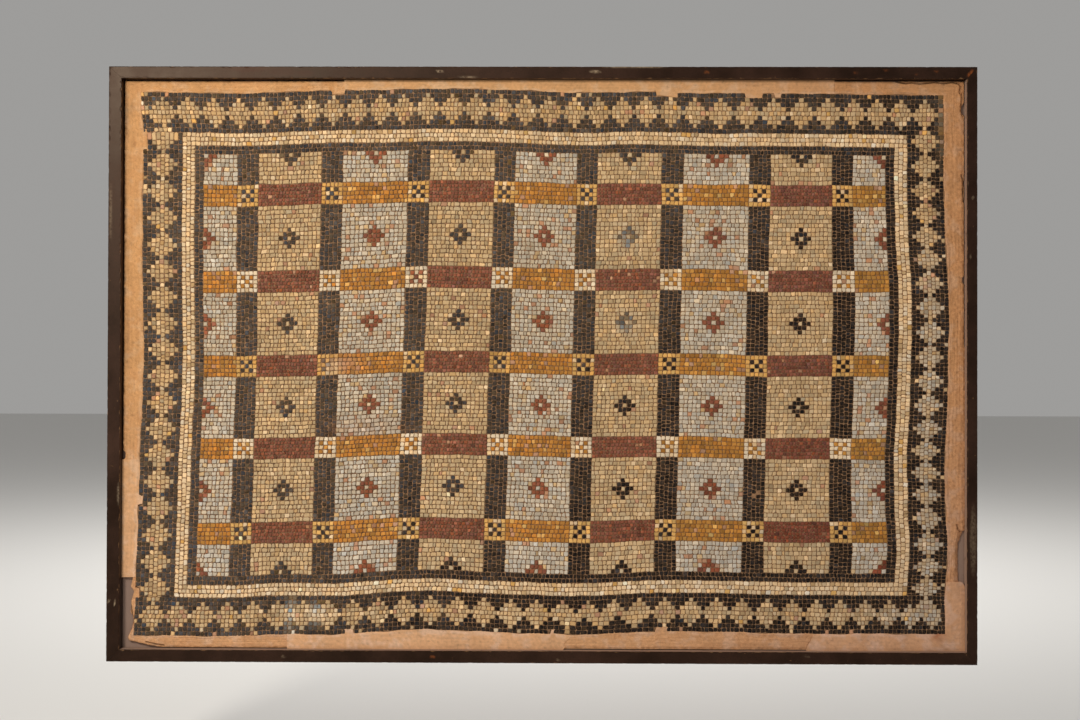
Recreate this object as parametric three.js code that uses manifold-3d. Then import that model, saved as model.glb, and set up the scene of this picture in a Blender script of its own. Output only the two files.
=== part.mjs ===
// A section of an ancient stone mosaic floor, lifted and set in mortar inside a plain dark frame that
// is fixed to a wall. Units are millimetres.
//
// Every piece is drawn on the panel: x to the right, y up the panel and z forward from the wall. The
// group at the end turns the panel upright, so that its back lies in the plane y = 0, it faces -Y, and
// the origin is the middle of its back.

import * as THREE from 'three';
import { mergeVertices } from 'three/addons/utils/BufferGeometryUtils.js';
import Module from 'manifold-3d';

const wasm = await Module();
wasm.setup();

// ---------------------------------------------------------------- driving dimensions

const FRAME = { width: 2000, height: 1372, depth: 62, arris: 1.5 };
const FACE = { top: 28, left: 30, bottom: 28, right: 24 }; // width of each rail's face
const GAP = 0.3; // between pieces that touch

// How far forward of the wall each layer reaches.
const BACKING_FRONT = 34;
const STONE_SEAT = 37;
const BED_FRONT = 44;
const FILL_FRONT = 45;
const STONE_FRONT = 45.5;

// The rectangles that the mosaic was set out in, from its outer edge to the field.
const EDGE = { left: -925, right: 930, head: 630.5, foot: -618 };
const CREAM = { left: -833.5, right: 846.5, head: 538, foot: -529.5 };
const DARK = { left: -804, right: 817, head: 508, foot: -500 };
const FIELD = { left: -784, right: 797, head: 489, foot: -480 };

const STONE = 9.8; // one stone with its joint
const BAND = 5 * STONE; // the dark upright bands and the coloured cross bands
const BAND_COUNT = 8;
const FIRST_BAND = -680.5; // middle of the leftmost dark band at its head
const BAND_PITCH = 196.6;
const CROSS_COUNT = 5;
const FIRST_CROSS = 393.8; // middle of the top cross band
const CROSS_PITCH = 194.45;

// How far the hand-laid lines stray from the even setting-out, at the left edge, at each dark band and
// at the right edge: sideways at the head, sideways at the foot, and upwards.
const SLIP = [0, 0, 0, 5, 7, 0, 1, 6, 0, 0];
const LEAN = [-12, -16, -22, -26, -25, -19, -18, -18, -9, 0];
const RISE = [-6, -6, -2, 6, 5, 0, 2, -2, -2, -4];
const CROSS_SLIP = [0, 0, -4, -5, -1, 0, 0]; // upwards, at the head, at each cross band, at the foot
const LATE_LEAN = 1.2; // how much later the left edge starts to lean than the rest

// How far each side of the border sways to the right or upwards, at places along that side.
const SWAY = {
  left: { places: [-530, -300, -180, -40, 80, 260, 530], reach: [0, 1.5, 2, 6, 5, 0, 1] },
  right: {
    places: [-530, -420, -320, -200, -80, 100, 200, 300, 400, 530],
    reach: [0, 6, 1, 0, 5, 9, 7, 1, -2.5, -3],
  },
  head: {
    places: [-830, -700, -500, -340, -180, 60, 220, 380, 460, 700, 830],
    reach: [4.5, 2, 5.5, 1, 1, -1.5, -0.5, -4, -1, -2, -3],
  },
  foot: {
    places: [-840, -690, -600, -440, -240, -100, 120, 240, 440, 680, 830],
    reach: [-5, -5, -2, -5.5, -1, -4.5, -4.5, 0, 3.5, 1.5, 3],
  },
};

// Runs along each side where the outermost row of stones is lost.
const LOST = {
  head: [[-489, -457], [263, 314], [464, 503], [531, 547]],
  foot: [[-429, -408], [44, 56], [284, 314]],
  left: [[-530, -508], [-319, -298], [495, 547]],
  right: [],
};
const EDGE_STEP = 2 * STONE;

const JOINT = { width: 2, depth: 1.5 }; // the raked joints round each band and panel of the field

// ---------------------------------------------------------------- the hand-laid lines

const bandMiddles = Array.from({ length: BAND_COUNT }, (_, k) => FIRST_BAND + k * BAND_PITCH);
const crossMiddles = Array.from({ length: CROSS_COUNT }, (_, k) => FIRST_CROSS - k * CROSS_PITCH);
const acrossPlaces = [EDGE.left, ...bandMiddles, EDGE.right];
const downPlaces = [FIELD.head, ...crossMiddles, FIELD.foot].map((up) => -up);

// A smooth curve through values at rising places, straight on beyond both ends.
function through(places, values, at) {
  const last = places.length - 1;
  const x = Math.min(Math.max(at, places[0]), places[last]);
  let i = 0;
  while (i < last - 1 && x > places[i + 1]) i += 1;
  const slope = (k) => {
    const a = Math.max(k - 1, 0);
    const b = Math.min(k + 1, last);
    return (values[b] - values[a]) / (places[b] - places[a]);
  };
  const span = places[i + 1] - places[i];
  const t = (x - places[i]) / span;
  const rest = 1 - t;
  return values[i] * rest * rest * (1 + 2 * t) + values[i + 1] * t * t * (3 - 2 * t)
    + span * t * rest * (slope(i) * rest - slope(i + 1) * t);
}

// The sway of one side at a place along it, which dies away from `full` inwards to `none`.
function sway(side, along, across, none, full) {
  const amount = THREE.MathUtils.smoothstep(across, none, full);
  return amount * through(SWAY[side].places, SWAY[side].reach, along);
}

// Moves a point of the even setting-out to where it was really laid.
function lay(x, y) {
  const down = Math.max((FIELD.head - y) / (FIELD.head - FIELD.foot), 0);
  const leftness = THREE.MathUtils.clamp((bandMiddles[1] - x) / (bandMiddles[1] - EDGE.left), 0, 1);
  const lean = through(acrossPlaces, LEAN, x) * Math.pow(down, 1 + LATE_LEAN * leftness);
  const sideways = through(acrossPlaces, SLIP, x) + lean
    + sway('left', y, -x, -bandMiddles[1], -CREAM.left)
    + sway('right', y, x, bandMiddles[6], CREAM.right);
  const upwards = through(acrossPlaces, RISE, x) + through(downPlaces, CROSS_SLIP, -y)
    + sway('head', x, y, crossMiddles[1], CREAM.head)
    + sway('foot', x, -y, -crossMiddles[3], -CREAM.foot);
  return new THREE.Vector2(x + sideways, y + upwards);
}

function samples(from, to, step) {
  const count = Math.ceil(Math.abs(to - from) / step);
  return Array.from({ length: count }, (_, k) => from + (to - from) * k / count);
}

// A rectangle of the setting-out, grown on every side, as it was laid.
function laidRectangle({ left, right, head, foot }, grow) {
  const step = BAND_PITCH / 4;
  const [l, r, h, f] = [left - grow, right + grow, head + grow, foot - grow];
  return [
    ...samples(l, r, step).map((x) => lay(x, f)),
    ...samples(f, h, step).map((y) => lay(r, y)),
    ...samples(r, l, step).map((x) => lay(x, h)),
    ...samples(h, f, step).map((y) => lay(l, y)),
  ];
}

// How far the outer stones stand back from the set-out edge.
function raggedness(along) {
  return 1.1 * Math.sin(along / 23) + 0.9 * Math.sin(along / 9.7 + 1.3);
}

// One side of the mosaic as pairs of a place along it and a depth in from the edge.
function raggedSide(from, to, lost, grow) {
  const inside = (along) => lost.some(([a, b]) => along > a - 1 && along < b + 1);
  const points = samples(from, to, EDGE_STEP)
    .filter((along) => !inside(along))
    .map((along) => [along, raggedness(along) - grow]);
  for (const [a, b] of lost) {
    const outer = raggedness(a) - grow;
    const inner = outer + STONE;
    points.push([a + grow, outer], [a + 1 + grow, inner], [b - 1 - grow, inner], [b - grow, outer]);
  }
  return points.sort((p, q) => p[0] - q[0]);
}

// The broken outline of the whole mosaic, grown outwards.
function mosaicOutline(grow) {
  const { left, right, head, foot } = EDGE;
  const inset = STONE / 2; // the corner stones are lost too
  const foots = raggedSide(left + inset, right - inset, LOST.foot, grow);
  const rights = raggedSide(foot + inset, head - inset, LOST.right, grow);
  const heads = raggedSide(left + inset, right - inset, LOST.head, grow).reverse();
  const lefts = raggedSide(foot + inset, head - inset, LOST.left, grow).reverse();
  return [
    ...foots.map(([x, depth]) => lay(x, foot + depth)),
    ...rights.map(([y, depth]) => lay(right - depth, y)),
    ...heads.map(([x, depth]) => lay(x, head - depth)),
    ...lefts.map(([y, depth]) => lay(left + depth, y)),
  ];
}

// ---------------------------------------------------------------- solids

// A flat plate of the given outline between two distances from the wall.
function plate(outline, back, front, hole) {
  const shape = new THREE.Shape(outline);
  if (hole) shape.holes.push(new THREE.Path(hole));
  const geometry = new THREE.ExtrudeGeometry(shape, { depth: front - back, bevelEnabled: false });
  return geometry.translate(0, 0, back);
}

function toSolid(geometry) {
  const bare = geometry.index ? geometry.toNonIndexed() : geometry.clone();
  bare.deleteAttribute('normal');
  bare.deleteAttribute('uv');
  const merged = mergeVertices(bare, 1e-4);
  return new wasm.Manifold(new wasm.Mesh({
    numProp: 3,
    vertProperties: new Float32Array(merged.attributes.position.array),
    triVerts: new Uint32Array(merged.index.array),
  }));
}

function toGeometry(solid) {
  const { vertProperties, triVerts } = solid.getMesh();
  const geometry = new THREE.BufferGeometry();
  geometry.setAttribute('position', new THREE.BufferAttribute(vertProperties, 3));
  geometry.setIndex(new THREE.BufferAttribute(triVerts, 1));
  geometry.computeVertexNormals();
  return geometry;
}

function points(...pairs) {
  return pairs.map(([x, y]) => new THREE.Vector2(x, y));
}

function box(left, right, foot, head) {
  return points([left, foot], [right, foot], [right, head], [left, head]);
}

// ---------------------------------------------------------------- frame

// The frame's opening, grown inwards.
function opening(inset) {
  return {
    left: FACE.left - FRAME.width / 2 + inset,
    right: FRAME.width / 2 - FACE.right - inset,
    head: FRAME.height / 2 - FACE.top - inset,
    foot: FACE.bottom - FRAME.height / 2 + inset,
  };
}

// A rail of the frame with its outer edge `reach` above the panel's middle. Each end is mitred from the
// frame's outer corner to its inner one, against a rail whose face is given.
function railGeometry(length, reach, face, nearFace, farFace) {
  const { depth, arris } = FRAME;
  const inner = reach - face;
  const profile = new THREE.Shape(points(
    [inner, 0], [reach, 0], [reach, depth - arris], [reach - arris, depth],
    [inner + arris, depth], [inner, depth - arris],
  ));
  const geometry = new THREE.ExtrudeGeometry(profile, { depth: 1, bevelEnabled: false });
  const position = geometry.attributes.position;
  for (let i = 0; i < position.count; i += 1) {
    const up = position.getX(i);
    const far = position.getZ(i) > 0.5;
    const slope = (far ? farFace : nearFace) / face;
    const half = length / 2 - (reach - up) * slope - GAP * 0.75;
    position.setXYZ(i, far ? half : -half, up, position.getY(i));
  }
  return geometry;
}

// ---------------------------------------------------------------- mortar

const inside = opening(GAP);
const BED_CLEARANCE = 2.5;

function backingSlab() {
  return plate(box(inside.left, inside.right, inside.foot, inside.head), 0, BACKING_FRONT - GAP);
}

// The old bed stands a little clear of the frame. It is chipped along both edges, broken away at the
// bottom left, and its right edge is broken back above the corner fill.
function bedOutline() {
  const { left, right, head, foot } = opening(BED_CLEARANCE);
  return points(
    [-878, foot], [-926, -646], [-950, -641], [-955, -632], [-940, -593], [-949, -575],
    [-947, -549], [-941, -528], [-948, -515], [-944, -494],
    [left, -494], [left, -221], [-962.5, -219], [-962.5, -205], [left, -202], [left, head],
    [right, head], [right, 606], [969, 600], [968, 582], [right, 576],
    [right, 206], [969.5, 202], [969.5, 192], [right, 188], [right, 46],
    [inside.right, 42], [inside.right, -378], [971, -384], [961, -412], [961, -470], [963, -520],
    [963, foot],
  );
}

// The outline of each newer fill, grown outwards. Each reaches in under the mosaic's edge, where the
// mosaic's outline cuts it off.
const UNDER = 24;
const fills = {
  top: (grow) => box(-458 - grow, 675 + grow, EDGE.head - UNDER, inside.head),
  left: (grow) => box(inside.left, EDGE.left + UNDER, -494 - grow, -222 + grow),
  bottom: (grow) => points(
    [-586 - grow, inside.foot], [52 + grow, inside.foot], [58 + grow, -634], [68 + grow, -621],
    [68 + grow, EDGE.foot + UNDER], [-586 - grow, EDGE.foot + UNDER],
  ),
  corner: (grow) => points(
    [612 - grow, inside.foot], [inside.right, inside.foot], [inside.right, -512 + grow],
    [972, -502 + grow], [962, -498 + grow], [EDGE.right - UNDER, -498 + grow], [EDGE.right - UNDER, EDGE.foot + UNDER],
    [632 - grow, EDGE.foot + UNDER], [628 - grow, -621], [618 - grow, -636],
  ),
};

function fillSolid(name) {
  const whole = toSolid(plate(fills[name](0), BACKING_FRONT, FILL_FRONT));
  return whole.subtract(toSolid(plate(mosaicOutline(GAP), 0, FRAME.depth)));
}

function mortarBed() {
  let bed = toSolid(plate(bedOutline(), BACKING_FRONT, BED_FRONT));
  bed = bed.subtract(toSolid(plate(mosaicOutline(GAP), STONE_SEAT - GAP, FRAME.depth)));
  const stones = toSolid(plate(mosaicOutline(0), 0, FRAME.depth));
  for (const outline of Object.values(fills)) {
    bed = bed.subtract(toSolid(plate(outline(GAP), 0, FRAME.depth)).subtract(stones));
  }
  return toGeometry(bed);
}

// ---------------------------------------------------------------- stones, fused by area

function ring(outer, inner) {
  return plate(outer, STONE_SEAT, STONE_FRONT, inner);
}

const HALF_GAP = GAP / 2;

// The field is one plate with a low raised block for every panel, band and crossing square.
function fieldOfPanels() {
  const floor = STONE_FRONT - JOINT.depth;
  const plateUnder = toSolid(plate(laidRectangle(FIELD, -HALF_GAP), STONE_SEAT, floor));
  const edgesOf = (middles) => middles.flatMap((m) => [m - BAND / 2, m + BAND / 2]);
  const half = JOINT.width / 2;
  const ends = JOINT.width; // the outermost blocks stand further in, clear of the curved edges
  const uprights = [FIELD.left + ends, ...edgesOf(bandMiddles), FIELD.right - ends];
  const middles = edgesOf(crossMiddles).sort((a, b) => b - a);
  const crosses = [FIELD.head - ends, ...middles, FIELD.foot + ends];
  const blocks = [];
  for (let i = 1; i < uprights.length; i += 1) {
    for (let k = 1; k < crosses.length; k += 1) {
      const [l, r] = [uprights[i - 1] + half, uprights[i] - half];
      const [h, f] = [crosses[k - 1] - half, crosses[k] + half];
      const outline = [lay(l, f), lay(r, f), lay(r, h), lay(l, h)];
      blocks.push(toSolid(plate(outline, STONE_SEAT + 1, STONE_FRONT)));
    }
  }
  return toGeometry(wasm.Manifold.union([plateUnder, ...blocks]));
}

// ---------------------------------------------------------------- the panel

const darkPaint = new THREE.MeshStandardMaterial({ color: 0x2f2019, roughness: 0.55 });
const palePlaster = new THREE.MeshStandardMaterial({ color: 0x9d8677, roughness: 0.95 });
const oldMortar = new THREE.MeshStandardMaterial({ color: 0xb08458, roughness: 0.95 });
const newMortar = new THREE.MeshStandardMaterial({ color: 0xc99a68, roughness: 0.95 });
const mixedStone = new THREE.MeshStandardMaterial({ color: 0x7a6f5c, roughness: 0.8 });
const creamStone = new THREE.MeshStandardMaterial({ color: 0xdcc493, roughness: 0.8 });
const darkStone = new THREE.MeshStandardMaterial({ color: 0x3b3a3a, roughness: 0.8 });
const fieldStone = new THREE.MeshStandardMaterial({ color: 0xa3977c, roughness: 0.8 });

const panel = new THREE.Group();

function add(name, geometry, material) {
  const mesh = new THREE.Mesh(geometry, material);
  mesh.name = name;
  panel.add(mesh);
  return mesh;
}

const rails = [
  ['top', FRAME.width, FRAME.height, 'left', 'right', 0],
  ['left', FRAME.height, FRAME.width, 'bottom', 'top', Math.PI / 2],
  ['bottom', FRAME.width, FRAME.height, 'right', 'left', Math.PI],
  ['right', FRAME.height, FRAME.width, 'top', 'bottom', -Math.PI / 2],
];
for (const [name, length, spread, near, far, turn] of rails) {
  const rail = railGeometry(length, spread / 2, FACE[name], FACE[near], FACE[far]);
  add(`frame_rail_${name}`, rail, darkPaint).rotation.z = turn;
}

add('backing_slab', backingSlab(), palePlaster);
add('mortar_bed', mortarBed(), oldMortar);
for (const name of Object.keys(fills)) {
  add(`repair_fill_${name}`, toGeometry(fillSolid(name)), newMortar);
}

add('stepped_border', ring(mosaicOutline(0), laidRectangle(CREAM, HALF_GAP)), mixedStone);
add('cream_band', ring(laidRectangle(CREAM, -HALF_GAP), laidRectangle(DARK, HALF_GAP)), creamStone);
add('dark_band', ring(laidRectangle(DARK, -HALF_GAP), laidRectangle(FIELD, HALF_GAP)), darkStone);
add('field', fieldOfPanels(), fieldStone);

panel.rotation.x = Math.PI / 2;

const mosaicPanel = new THREE.Group();
mosaicPanel.add(panel);

export default mosaicPanel;
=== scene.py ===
import math
import random

import bmesh
import bpy
from bpy.props import FloatProperty, FloatVectorProperty, PointerProperty
from mathutils import Matrix, Vector, noise
from mathutils.geometry import intersect_point_line


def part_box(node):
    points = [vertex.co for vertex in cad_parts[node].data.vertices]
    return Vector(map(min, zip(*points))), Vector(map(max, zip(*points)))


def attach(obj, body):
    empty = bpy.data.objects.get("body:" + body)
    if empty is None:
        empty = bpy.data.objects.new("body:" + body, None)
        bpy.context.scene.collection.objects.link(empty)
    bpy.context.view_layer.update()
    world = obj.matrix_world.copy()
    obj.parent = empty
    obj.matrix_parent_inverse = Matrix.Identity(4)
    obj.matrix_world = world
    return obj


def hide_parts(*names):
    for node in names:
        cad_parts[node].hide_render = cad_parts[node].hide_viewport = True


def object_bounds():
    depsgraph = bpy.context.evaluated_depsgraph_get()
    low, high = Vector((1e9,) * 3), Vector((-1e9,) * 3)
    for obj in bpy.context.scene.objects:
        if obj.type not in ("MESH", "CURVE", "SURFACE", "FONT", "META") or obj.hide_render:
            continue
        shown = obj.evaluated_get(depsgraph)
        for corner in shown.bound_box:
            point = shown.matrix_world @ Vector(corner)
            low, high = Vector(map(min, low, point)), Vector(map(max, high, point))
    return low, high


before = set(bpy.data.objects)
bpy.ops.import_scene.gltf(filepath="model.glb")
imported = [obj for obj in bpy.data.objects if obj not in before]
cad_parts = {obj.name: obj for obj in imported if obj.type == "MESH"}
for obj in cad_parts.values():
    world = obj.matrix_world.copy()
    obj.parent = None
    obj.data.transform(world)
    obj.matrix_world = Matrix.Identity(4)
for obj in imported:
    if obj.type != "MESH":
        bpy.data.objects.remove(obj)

bl_info = {
    "name": "Mosaic Panel",
    "version": (1, 0, 0),
    "blender": (4, 5, 0),
    "location": "View3D > Sidebar > Mosaic Panel",
    "description": "Builds a framed section of an ancient mosaic floor, set in mortar",
    "category": "Add Mesh",
}

# Lengths here are in millimetres on the panel: x to the right, y up the panel, and forward from the
# wall. at() turns such a place into the frame's metres.

MM = 0.001


def at(x, y, forward):
    return Vector((x * MM, -forward * MM, y * MM))


# ---------------------------------------------------------------- what the CAD model gives

CAD_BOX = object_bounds()


def front_of(node):
    return -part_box(node)[0][1] / MM


HALF_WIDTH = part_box("frame_rail_right")[1][0] / MM
HALF_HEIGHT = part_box("frame_rail_top")[1][2] / MM
FRAME_DEPTH = front_of("frame_rail_top")


def face_of(side):
    """Width of a rail's face, and the axis that it is measured along."""
    axis = 2 if side in ("top", "bottom") else 0
    low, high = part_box("frame_rail_" + side)
    return (high[axis] - low[axis]) / MM


FACE = {side: face_of(side) for side in ("top", "left", "bottom", "right")}
OPENING = {
    "left": FACE["left"] - HALF_WIDTH,
    "right": HALF_WIDTH - FACE["right"],
    "head": HALF_HEIGHT - FACE["top"],
    "foot": FACE["bottom"] - HALF_HEIGHT,
}
BACKING_FRONT = front_of("backing_slab")
BED_FRONT = front_of("mortar_bed")
FILL_FRONT = front_of("repair_fill_top")
STONE_FRONT = front_of("field")
GAP = 0.3

# ---------------------------------------------------------------- setting-out, as in the CAD model

EDGE = {"left": -925, "right": 930, "head": 630.5, "foot": -618}
CREAM = {"left": -833.5, "right": 846.5, "head": 538, "foot": -529.5}
DARK = {"left": -804, "right": 817, "head": 508, "foot": -500}
FIELD = {"left": -784, "right": 797, "head": 489, "foot": -480}

STONE = 9.8
BAND = 5 * STONE
BANDS = [-680.5 + 196.6 * k for k in range(8)]
CROSSES = [393.8 - 194.45 * k for k in range(5)]

ACROSS_PLACES = [EDGE["left"], *BANDS, EDGE["right"]]
DOWN_PLACES = [-y for y in (FIELD["head"], *CROSSES, FIELD["foot"])]
SLIP = [0, 0, 0, 5, 7, 0, 1, 6, 0, 0]
LEAN = [-12, -16, -22, -26, -25, -19, -18, -18, -9, 0]
RISE = [-6, -6, -2, 6, 5, 0, 2, -2, -2, -4]
CROSS_SLIP = [0, 0, -4, -5, -1, 0, 0]
LATE_LEAN = 1.2
SWAY = {
    "left": ((-530, -300, -180, -40, 80, 260, 530, 555, 600), (0, 1.5, 2, 6, 5, 0, 1, 0, -6)),
    "right": ((-530, -420, -320, -200, -80, 100, 200, 300, 400, 530), (0, 6, 1, 0, 5, 9, 7, 1, -2.5, -3)),
    "head": (
        (-830, -700, -500, -340, -180, 60, 220, 380, 460, 700, 830),
        (4.5, 2, 5.5, 1, 1, -1.5, -0.5, -4, -1, -2, -3),
    ),
    "foot": (
        (-840, -690, -600, -440, -240, -100, 120, 240, 440, 680, 830),
        (-5, -5, -2, -5.5, -1, -4.5, -4.5, 0, 3.5, 1.5, 3),
    ),
}

# Runs along each side where the outermost row of stones is lost.
LOST = {
    "head": [(-489, -457), (263, 314), (464, 503), (531, 547)],
    "foot": [(-429, -408), (44, 56), (284, 314)],
    "left": [(-530, -508), (-319, -298), (495, 547)],
    "right": [],
}


def clamp(value):
    return min(max(value, 0.0), 1.0)


def smoothstep(low, high, value):
    t = clamp((value - low) / (high - low))
    return t * t * (3 - 2 * t)


def mix(a, b, t):
    return a + (b - a) * t


def through(places, values, at_place):
    """A smooth curve through values at rising places, level beyond both ends."""
    last = len(places) - 1
    x = min(max(at_place, places[0]), places[last])
    i = 0
    while i < last - 1 and x > places[i + 1]:
        i += 1

    def slope(k):
        a, b = max(k - 1, 0), min(k + 1, last)
        return (values[b] - values[a]) / (places[b] - places[a])

    span = places[i + 1] - places[i]
    t = (x - places[i]) / span
    rest = 1 - t
    ends = values[i] * rest * rest * (1 + 2 * t) + values[i + 1] * t * t * (3 - 2 * t)
    return ends + span * t * rest * (slope(i) * rest - slope(i + 1) * t)


def between(pairs, value):
    """Straight lines through rising pairs of a place and a value."""
    for (a, low), (b, high) in zip(pairs, pairs[1:]):
        if value <= b or (b, high) == pairs[-1]:
            return low + (high - low) * (value - a) / (b - a)


def sway(side, along, across, none, full):
    """The sway of one side at a place along it, which dies away from full inwards to none."""
    amount = smoothstep(none, full, across)
    return amount * through(*SWAY[side], along) if amount else 0.0


def lay(x, y):
    """Moves a point of the even setting-out to where it was really laid."""
    down = max((FIELD["head"] - y) / (FIELD["head"] - FIELD["foot"]), 0)
    leftness = clamp((BANDS[1] - x) / (BANDS[1] - EDGE["left"]))
    lean = through(ACROSS_PLACES, LEAN, x) * down ** (1 + LATE_LEAN * leftness)
    sideways = through(ACROSS_PLACES, SLIP, x) + lean
    sideways += sway("left", y, -x, -BANDS[1], -CREAM["left"])
    sideways += sway("right", y, x, BANDS[6], CREAM["right"])
    upwards = through(ACROSS_PLACES, RISE, x) + through(DOWN_PLACES, CROSS_SLIP, -y)
    upwards += sway("head", x, y, CROSSES[1], CREAM["head"])
    upwards += sway("foot", x, -y, -CROSSES[3], -CREAM["foot"])
    return x + sideways, y + upwards


# How far courses laid by hand wander, and over what length, for a long and a short wave.
HAND_WAVES = ((1.5, 80), (1.4, 26))
HAND_SEED = 7
noise.seed_set(HAND_SEED)  # noise_vector would otherwise differ from run to run


def hand_lay(x, y):
    """lay(), with the small wandering of courses laid by hand."""
    px, py = lay(x, y)
    for reach, span in HAND_WAVES:
        wander = noise.noise_vector(Vector((x / span, y / span, 0))) * reach
        px += wander.x
        py += wander.y
    return px, py


def set_out_x(px, y):
    """The set-out x that was laid at px."""
    x = px
    for _ in range(4):
        x += px - lay(x, y)[0]
    return x


def set_out_y(x, py):
    y = py
    for _ in range(4):
        y += py - lay(x, y)[1]
    return y


def raggedness(along):
    """How far the outer stones stand back from the set-out edge."""
    return 1.1 * math.sin(along / 23) + 0.9 * math.sin(along / 9.7 + 1.3)


def is_lost(side, along):
    return any(a < along < b for a, b in LOST[side])


# ---------------------------------------------------------------- settings


def colour(name, description, default):
    return FloatVectorProperty(
        name=name, description=description, subtype="COLOR", size=3, min=0, max=1, default=default
    )


def length(name, description, default):
    """A length in metres, given in millimetres."""
    return FloatProperty(
        name=name, description=description, subtype="DISTANCE", unit="LENGTH", default=default * MM
    )


class FrameSettings(bpy.types.PropertyGroup):
    arris: length("Arris", "Rounding of the rails' long edges", 1.6)
    paint: colour("Paint", "Dark brown paint of the rails", (0.0135, 0.0050, 0.0026))
    bare: colour("Bare", "What shows where the paint is worn or chipped", (0.24, 0.125, 0.055))
    # Pale colour on the inner walls of the right and bottom rails, which face the light: partly plaster smear,
    # partly painted highlight.
    smear: colour("Smear", "Plaster smeared on the inner walls", (0.36, 0.24, 0.18))
    stain: colour("Stain", "Dark red stains on the paint", (0.035, 0.006, 0.003))
    rust: colour("Rust", "Rusty specks", (0.22, 0.060, 0.015))
    chipped: colour("Chipped", "Pale ground where the paint is chipped off", (0.34, 0.25, 0.16))


class MortarSettings(bpy.types.PropertyGroup):
    old: colour("Old Mortar", "Old lime mortar round the mosaic", (0.60, 0.31, 0.125))
    new: colour("New Mortar", "Mortar of the repairs", (0.64, 0.35, 0.155))
    joint: colour("Joint Mortar", "Mortar between the stones", (0.37, 0.21, 0.11))
    grime: colour("Grime", "Dirt settled in the joints", (0.030, 0.019, 0.013))
    depth: length("Joint Depth", "How far the joints lie behind the stones", 2.7)
    backing: colour("Backing", "Plaster behind the bed", (0.30, 0.205, 0.16))
    grid: length("Grid", "Spacing of the mortar's modelled relief", 2.6)


class StoneSettings(bpy.types.PropertyGroup):
    seat: length("Seat", "How far behind their faces the stones reach into the mortar", 4)
    chamfer: length("Chamfer", "Worn edge of each stone", 1.25)
    cream: colour("Cream", "Cream band", (0.74, 0.52, 0.29))
    tan: colour("Tan", "Ground of the stepped border", (0.54, 0.36, 0.18))
    beige: colour("Beige", "Beige panels", (0.56, 0.385, 0.20))
    grey: colour("Grey", "Grey panels", (0.545, 0.455, 0.335))
    salmon: colour("Salmon", "Pinkish stones among the rest", (0.48, 0.25, 0.14))
    slate: colour("Slate", "Dark stones, weathered", (0.058, 0.049, 0.041))
    black: colour("Black", "Dark stones, fresh", (0.0062, 0.0048, 0.0045))
    red: colour("Red", "Red-brown cross bands", (0.23, 0.078, 0.045))
    rust: colour("Rust", "Red diamonds", (0.26, 0.082, 0.040))
    ochre: colour("Ochre", "Ochre cross bands", (0.47, 0.20, 0.038))
    yellow: colour("Yellow", "Yellow crossing squares", (0.66, 0.37, 0.11))
    white: colour("White", "White crossing squares", (0.78, 0.62, 0.42))


class StageSettings(bpy.types.PropertyGroup):
    floor: colour("Floor", "Plain floor", (0.72, 0.71, 0.69))
    drop: length("Drop", "How far the floor is below the panel", 260)
    sky: FloatProperty(name="Sky", description="Strength of the light all round", default=0.34)
    key: FloatProperty(name="Key", description="Power of the main light", subtype="POWER", default=62)
    fill: FloatProperty(name="Fill", description="Power of the front light", subtype="POWER", default=12)
    back: FloatProperty(name="Back", description="Power of the light on the floor", subtype="POWER", default=220)


def settings(name):
    return getattr(bpy.context.scene, "mosaic_" + name)


# ---------------------------------------------------------------- helpers for pieces


def to_object(name, bm, material, slot, *nodes):
    """Makes a finished piece of a bmesh, which stands for the CAD nodes named."""
    mesh = bpy.data.meshes.new(name)
    bm.to_mesh(mesh)
    bm.free()
    mesh.materials.append(material)
    piece = bpy.data.objects.new(name, mesh)
    bpy.context.scene.collection.objects.link(piece)
    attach(piece, "root")
    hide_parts(*nodes)
    return piece


def dress(node, material):
    """Gives a CAD node's object its material."""
    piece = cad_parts[node]
    piece.data.materials.clear()
    piece.data.materials.append(material)


# ---------------------------------------------------------------- materials


class Nodes:
    """Short calls for building a node tree."""

    def __init__(self, tree):
        self.tree = tree

    def new(self, kind, **values):
        """A node; values are its settings, or its inputs where no setting has that name."""
        node = self.tree.nodes.new("ShaderNode" + kind)
        for key, value in values.items():
            if hasattr(node, key):
                setattr(node, key, value)
            else:
                self.feed(node.inputs[key.replace("_", " ")], value)
        return node

    def feed(self, socket, value):
        if isinstance(value, bpy.types.NodeSocket):
            self.tree.links.new(value, socket)
        else:
            socket.default_value = value

    def noise(self, vector, scale, detail=4, roughness=0.55):
        node = self.new("TexNoise", Scale=scale, Detail=detail, Roughness=roughness)
        self.feed(node.inputs["Vector"], vector)
        return node.outputs["Fac"]

    def stretch(self, vector, scale):
        return self.new("Mapping", Vector=vector, Scale=scale).outputs["Vector"]

    def span(self, value, low, high, out_low=0.0, out_high=1.0):
        """value from low..high to out_low..out_high, held at both ends."""
        node = self.new("MapRange", clamp=True)
        for key, number in zip(("Value", "From Min", "From Max", "To Min", "To Max"),
                               (value, low, high, out_low, out_high)):
            self.feed(node.inputs[key], number)
        return node.outputs["Result"]

    def maths(self, operation, *values):
        node = self.new("Math", operation=operation)
        for socket, value in zip(node.inputs, values):
            self.feed(socket, value)
        return node.outputs["Value"]

    def blend(self, a, b, factor, mode="MIX"):
        node = self.new("Mix", data_type="RGBA", blend_type=mode)
        self.feed(node.inputs[0], factor)
        self.feed(node.inputs[6], a)
        self.feed(node.inputs[7], b)
        return node.outputs[2]


def opaque(rgb):
    return (*rgb, 1.0)


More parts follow.
